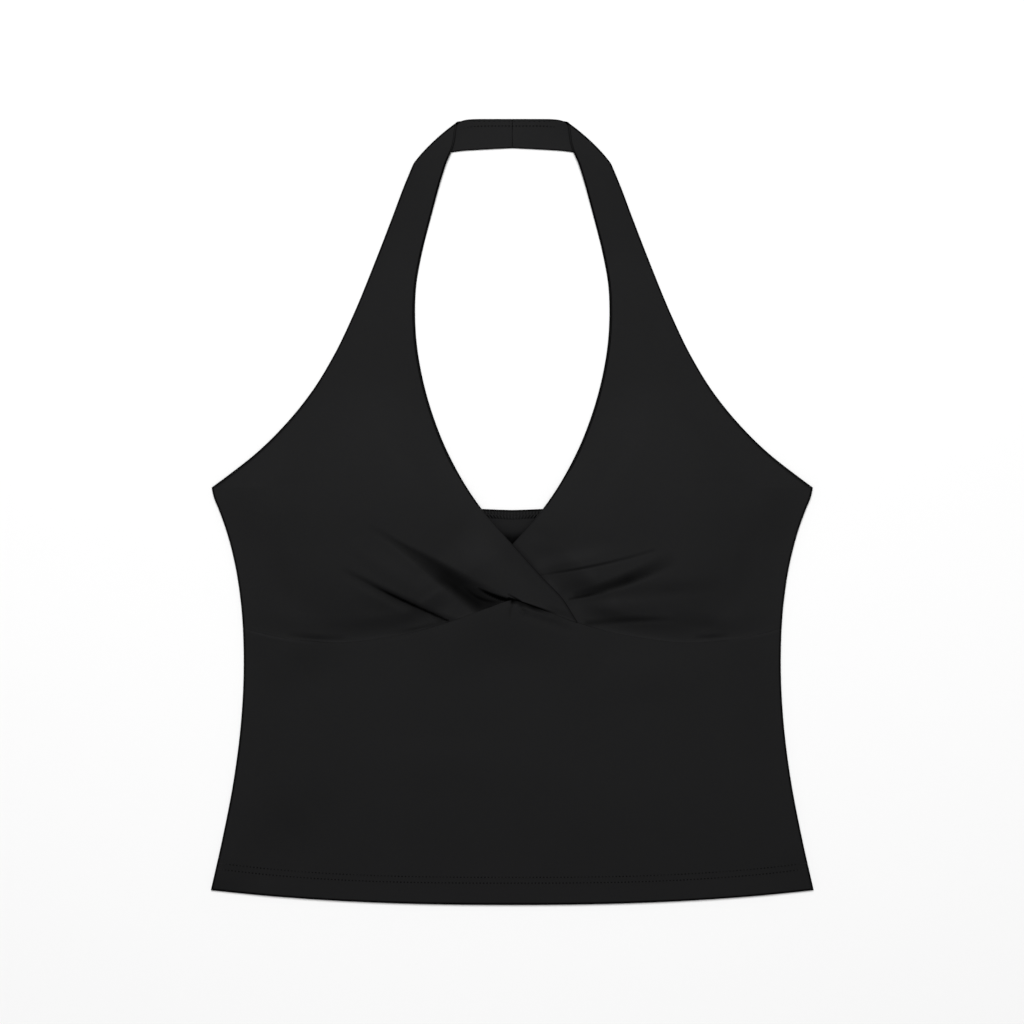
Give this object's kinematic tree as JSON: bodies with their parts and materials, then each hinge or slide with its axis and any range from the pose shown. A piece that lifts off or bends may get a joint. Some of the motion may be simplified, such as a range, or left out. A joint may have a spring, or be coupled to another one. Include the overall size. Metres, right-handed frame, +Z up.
{
  "type": "halter neck top",
  "caption": "Cropped stretch halter top laid flat, front up: crossed bust gathered into an underbust seam, straps folded over to a back-neck seam, plain body, straight-cut back.",
  "frame": {"origin": "centre of the bounding box in plan, on the surface that the garment lies on", "axes": "+Z up out of the surface and the garment's front, +Y from the hem to the neck, +X to the right as you look at the front"},
  "size_m": [0.4016, 0.5234, 0.0114],
  "materials": {
    "black_jersey": "matt black stretch cotton jersey with a fine knit and a faint soft sheen"
  },
  "bodies": {
    "root": {"back_panel": "black_jersey", "front_body": "black_jersey", "bust_right": "black_jersey", "bust_left": "black_jersey"}
  },
  "joints": []
}
